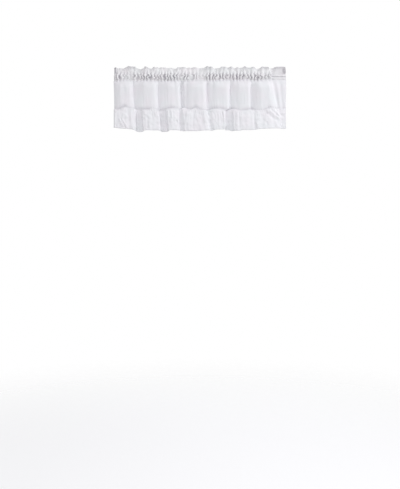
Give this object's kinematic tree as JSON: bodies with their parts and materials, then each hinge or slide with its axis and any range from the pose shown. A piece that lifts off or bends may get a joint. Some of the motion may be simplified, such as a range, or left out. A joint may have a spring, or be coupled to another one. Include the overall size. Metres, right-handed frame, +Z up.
{
  "type": "window valance",
  "caption": "White gathered window valance with a rod pocket, a stand-up frill above it, a softly folded panel and a ruffled flounce along the hem.",
  "frame": {"origin": "centre of the rod pocket, midway between the two side edges", "axes": "+X along the rod, to the right as seen from the room; +Y towards the wall; +Z up. The mount's axis is +X, along the pocket"},
  "size_m": [0.8734, 0.0931, 0.3354],
  "materials": {
    "heading_cloth": "matt plain-woven white cotton blend, gathered tightly",
    "panel_cloth": "matt plain-woven white cotton blend, hanging in soft folds",
    "flounce_cloth": "matt plain-woven white cotton blend, ruffled, with a narrow turned hem"
  },
  "bodies": {
    "root": {"heading": "heading_cloth", "panel": "panel_cloth", "flounce": "flounce_cloth"}
  },
  "joints": []
}
